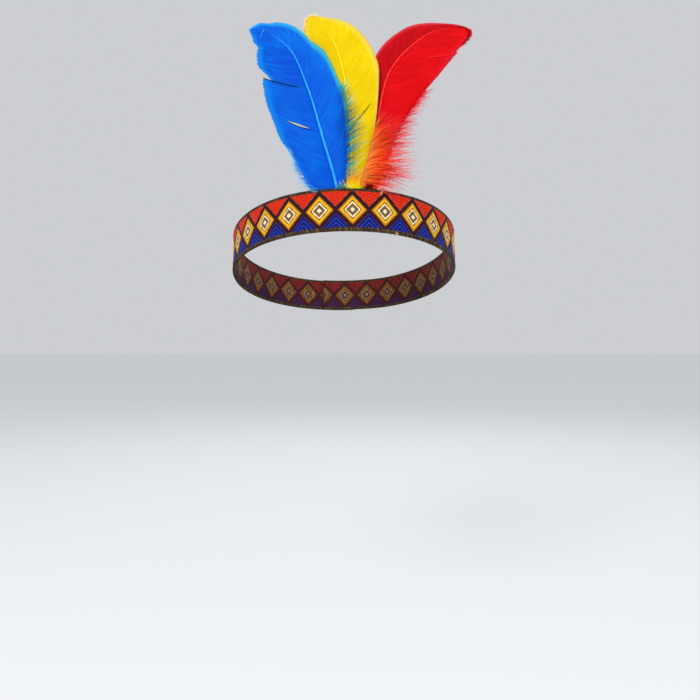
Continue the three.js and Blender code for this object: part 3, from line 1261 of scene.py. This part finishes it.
def make_plume(line, material, turns, lengths, **habit):
    """turns and lengths are those of the first and the last strand; turns are in degrees."""
    guide = guide_curve(smooth_through(line, 40))
    inputs = {
        **PLUME_HABIT,
        "Line": guide,
        "First Turn": math.radians(turns[0]),
        "Last Turn": math.radians(turns[1]),
        "First Length": lengths[0],
        "Last Length": lengths[1],
        **spelled(habit),
    }
    piece = grow("plume", PLUME, material, inputs)
    remove(guide)
    return piece


def line_before(feather_name, points, gap):
    """A line of points (across, up) that lies a gap in front of a feather's surface."""
    feather = FEATHERS[feather_name]
    return [(across, surface_depth(feather, up) - gap, up) for across, up in points]


# ---------------------------------------------------------------- shafts


def make_shaft_group():
    """A shaft along its line: flattened, with a groove behind, thinner to its tip, closed."""
    g = GeometryGroup(
        "Feather shaft", {"Object": ["Line"], "Float": ["Base Radius", "Tip Radius", "Groove"]}
    )
    factor = g.get("GeometryNodeSplineParameter", output="Factor")
    blunt = g.ramp(factor, 0.0, 0.05, 0.45, 1.0)
    fine = g.ramp(factor, 0.82, 1.0, 1.0, 0.2)
    taper = g["Base Radius"] + (g["Tip Radius"] - g["Base Radius"]) * factor
    radius = taper * blunt * fine
    inputs = {"Curve": g.guide("Line"), "Radius": radius}
    line = g.get("GeometryNodeSetCurveRadius", inputs)
    circle = g.node("GeometryNodeCurvePrimitiveCircle", {"Resolution": 14, "Radius": 1.0})
    ring = g.wire(circle, "Curve")
    x, y, z = g.parts(g.position())
    near_middle = g.ramp(g.maths("ABSOLUTE", x), 0.0, 0.45, 1.0, 0.0)
    dent = near_middle * g.ramp(y, -0.9, -0.6, 1.0, 0.0) * g["Groove"]
    ring = g.place(ring, g.vector(x, y * 0.85 + dent, z))
    inputs = {"Curve": line, "Profile Curve": ring, "Fill Caps": True}
    tube = g.node("GeometryNodeCurveToMesh", inputs)
    if "Scale" in tube.inputs:
        g.feed(tube.inputs["Scale"], radius)
    g.finish(g.wire(tube))
    return g


SHAFT = make_shaft_group()


def make_shaft(feather_name, material):
    line = guide_curve(shaft_line(FEATHERS[feather_name], 90))
    sizes = {"Base Radius": QUILL_RADIUS, "Tip Radius": SHAFT_TIP_RADIUS, "Groove": SHAFT_GROOVE}
    piece = grow(f"{feather_name}_quill", SHAFT, material, {"Line": line, **sizes})
    remove(line)
    return wear(piece, f"{feather_name}_shaft", f"{feather_name}_shaft")


# ---------------------------------------------------------------- the feathers' vanes


def make_blue_vanes():
    dyes = ("#0054DA", "#0084F6", "#10A4FF")
    blue = feather_material("blue_barbs", dyes, rim=0.8)
    by_yellow = feather_material(
        "blue_barbs_by_yellow",
        ("#0056D8", "#0082EC", "#48D0C0"),
        pale_tip="#28B4FF",
        rim=0.9,
        rim_from=0.12,
        through=0.2,
    )
    notch = Slit(at=0.75, inner=0.1, outer=1.4, gap=0.0004, notch=0.2, step=0.5)
    hole = Slit(at=0.566, inner=0.16, outer=0.66, gap=0.007)
    make_vane("blue", "left", blue, [notch, hole], Sweep=1.78, Ragged=0.9, Seed=11)
    parting = Slit(at=0.345, inner=0.5, outer=1.1, gap=0.0007)
    loose = {"Loose_From": -0.1, "Loose_To": 0.5, "Loose": 0.35}
    make_vane("blue", "right", by_yellow, [parting], Sweep=1.5, Seed=12, **loose)


def make_yellow_vanes():
    yellow = feather_material("yellow_barbs", ("#F4D000", "#FFEA00", "#FFEE80"))
    parting = Slit(at=0.513, inner=0.1, outer=0.62, gap=0.0022)
    make_vane("yellow", "left", yellow, Seed=13)
    make_vane("yellow", "right", yellow, [parting], Sweep=1.4, Seed=14)


def make_red_vanes():
    # The left half's deeper dyes are painted shade: a darker copy of the red beside the yellow
    # feather.
    dyes = ("#C0000E", "#EE0816", "#FF4860")
    by_yellow = feather_material("red_barbs_in_painted_shade", dyes, rim=0.7)
    red = feather_material("red_barbs", ("#DC000C", "#FF1018", "#FF2C48"))
    crease = Slit(at=0.855, inner=0.5, outer=1.1, gap=0.00015, notch=0.05)
    loose = {"Loose_From": -0.1, "Loose_To": 0.55, "Loose": 0.9}
    make_vane("red", "left", by_yellow, Seed=15)
    make_vane("red", "right", red, [crease], Sweep=2.3, Ragged=0.8, Seed=16, **loose)


# ---------------------------------------------------------------- the feathers' down

CREASE_HABIT = {"Barbules": 0, "Thickness": 0.3, "Scatter": 0.03, "Curl": 0.05, "Spread": 0.3}


def make_red_plume():
    """Down that springs from the foot of the red feather, over the edge of the yellow one."""
    red = down_material("red_down", ("#FF9C40", "#FF3C14", "#FF5868"), contrast=0.4, glow=0.22)
    dark = down_material("dark_red_down", ("#700404", "#A80808", "#E02010"), glow=0.02)
    orange = down_material("orange_down", ("#FFB050", "#FF7C2C", "#FF5038"), glow=0.25)
    top = line_before("yellow", [(10.8, 40), (13.2, 47), (15.4, 55)], 3)
    middle = line_before("yellow", [(7, 22), (9.8, 33), (12.8, 46)], 3)
    base = line_before("yellow", [(5, 14.5), (5.6, 19), (8, 27)], 2.6)
    clump = [(8.4, -94, 12.5), (11.6, -94, 13)]
    stray = {"Barbules": 12, "Thickness": 0.32, "Forward": 1.5}
    parts = [
        make_plume(top, red, (30, 60), (18, 12), Strands=70, Scatter=0.36, Thickness=0.2, Seed=21),
        make_plume(middle, red, (0, 40), (35, 28), Strands=190, Thickness=0.22, Seed=22),
        make_plume(base, red, (-2, 13), (26, 32), Strands=150, Thickness=0.22, Seed=23),
        make_plume(clump, dark, (125, 60), (3.8, 3.4), Strands=26, Seed=24),
        make_plume(middle, orange, (8, 52), (21, 15), Strands=46, Seed=26, **stray),
        make_plume(base, orange, (-6, 30), (19, 22), Strands=34, Seed=27, **stray),
    ]
    wear(gather("red_plume", parts), "red_down", "red_down")


def make_red_fringe():
    """The red feather's loose lower barbs, its frayed tip and a crease near it. The crease is
    pale strands, a painted highlight along its fold.
    """
    red = down_material("red_fringe", ("#F80814", "#FF1830", "#FF6080"), glow=0.12)
    dark = down_material("red_tip", ("#E00818", "#BC0818", "#980818"), glow=0.2)
    # Pale strands along the crease: a painted highlight on its fold.
    pale = down_material("red_crease_highlight", ("#FF2838", "#FF3848", "#FF5060"), contrast=0.0)
    edge = line_before("red", [(19, 36), (31, 60), (44, 80)], 0.2)
    tip_points = [(70, 132.2), (74, 131.4), (76.2, 128.6), (75.4, 124), (72, 118.5)]
    tip = line_before("red", tip_points, 0.25)
    crease = line_before("red", [(49.5, 106.7), (49.4, 107.1)], 0.55)
    fringed = {"Thickness": 0.14, "Forward": -1.0}
    frayed = {"Barbules": 6, "Thickness": 0.16, "Scatter": 0.3, "Spread": 0.3}
    creased = {**CREASE_HABIT, "Bend": 0.24, "Forward": -2.1}
    parts = [
        make_plume(edge, red, (18, 34), (18, 10), Strands=150, Seed=25, **fringed),
        make_plume(tip, dark, (30, -6), (2.8, 3.2), Strands=60, Seed=28, **frayed),
        make_plume(crease, pale, (9.5, 9.5), (21.5, 21.5), Strands=4, Seed=29, **creased),
    ]
    wear(gather("red_fringe", parts), "red_vane")


def make_blue_plume():
    """Teal barbs over the yellow feather, pale down at the blue one's foot, and creases at its tip
    of paler strands, a painted highlight along their folds.
    """
    teal = down_material("teal_barbs", ("#30A8E4", "#70C8A0", "#ECFCC8"), contrast=0.55, glow=0.25)
    pale = down_material("pale_blue_down", ("#2098F4", "#70C8F8", "#DCF4FC"), glow=0.25)
    # Paler strands at the tip's creases: a painted highlight on the folds.
    blue = down_material("blue_crease_highlight", ("#40ACFF", "#309CFF", "#1480F8"), contrast=0.0)
    upper = line_before("blue", [(-2.6, 46), (-3.6, 62), (-6, 77)], 1.2)
    lower = line_before("blue", [(-4, 18), (-2.4, 32), (-2.4, 48)], 1.4)
    foot = line_before("blue", [(-17, 12), (-24, 17), (-33, 34)], 0.6)
    quill = line_before("blue", [(-8, 12), (-5, 13)], 2)
    tip = line_before("blue", [(-51.2, 116.3), (-50.8, 116.7)], 1)
    barbs = {"Thickness": 0.2, "Scatter": 0.1, "Spread": 1.0}
    creased = {**CREASE_HABIT, "Bend": 0.0}
    parts = [
        make_plume(upper, teal, (46, 62), (14, 9), Strands=80, Seed=31, **barbs),
        make_plume(lower, teal, (26, 52), (12, 17), Strands=66, Seed=34, **barbs),
        make_plume(foot, pale, (200, 140), (9, 6), Strands=110, Thickness=0.14, Seed=32),
        make_plume(quill, teal, (100, 40), (6, 5), Strands=24, Seed=33),
        make_plume(tip, blue, (251, 251), (12, 12), Strands=5, Seed=37, **creased),
        make_plume(tip, blue, (274, 274), (6.5, 6.5), Strands=3, Seed=38, **creased),
    ]
    wear(gather("blue_plume", parts), "blue_vane")


def make_yellow_plume():
    """The yellow feather's down at its foot, and the wisps at its tip."""
    down = down_material("yellow_down", ("#F4F400", "#FFE010", "#FFB850"), contrast=0.1, glow=0.3)
    pale = down_material("yellow_tip", ("#FFE850", "#FFF0A0", "#FFF8D8"), contrast=0.0, glow=0.4)
    foot = line_before("yellow", [(-2, 12), (3, 13), (6.5, 14)], 1.6)
    tip = line_before("yellow", [(-26.6, 120), (-26.9, 125), (-25, 130), (-20, 132)], 0.3)
    wisps = {"Barbules": 8, "Thickness": 0.13, "Curl": 0.5}
    parts = [
        make_plume(foot, down, (100, 70), (13, 14), Strands=90, Thickness=0.2, Seed=35),
        make_plume(tip, pale, (108, 50), (2.6, 3), Strands=40, Seed=36, **wisps),
    ]
    wear(gather("yellow_plume", parts), "yellow_vane")


# ---------------------------------------------------------------- build

DARK_CODES = ["#2E1A08", "#3C260E", "#241406", "#443416", "#38220C", "#4C3A1A", "#30200C", "#6A5430"]
DARK_THREAD = thread_material("edge_thread", DARK_CODES)
PALE_THREAD = thread_material("pale_thread", ["#D8B880", "#C09A60"])
ribbon = make_ribbon(ribbon_material())
edge_threads = make_edge_threads(DARK_THREAD, PALE_THREAD)
make_lap_seam(DARK_THREAD)
make_quill_ties(DARK_THREAD)

make_shaft("blue", shaft_material("blue_horn", "#20ACFF", "#0084F0"))
make_shaft("yellow", shaft_material("yellow_horn", "#FFF010", "#F4DC00"))
make_shaft("red", shaft_material("red_horn", "#FF3828", "#D81018"))
make_blue_vanes()
make_yellow_vanes()
make_red_vanes()
make_red_plume()
make_red_fringe()
make_blue_plume()
make_yellow_plume()
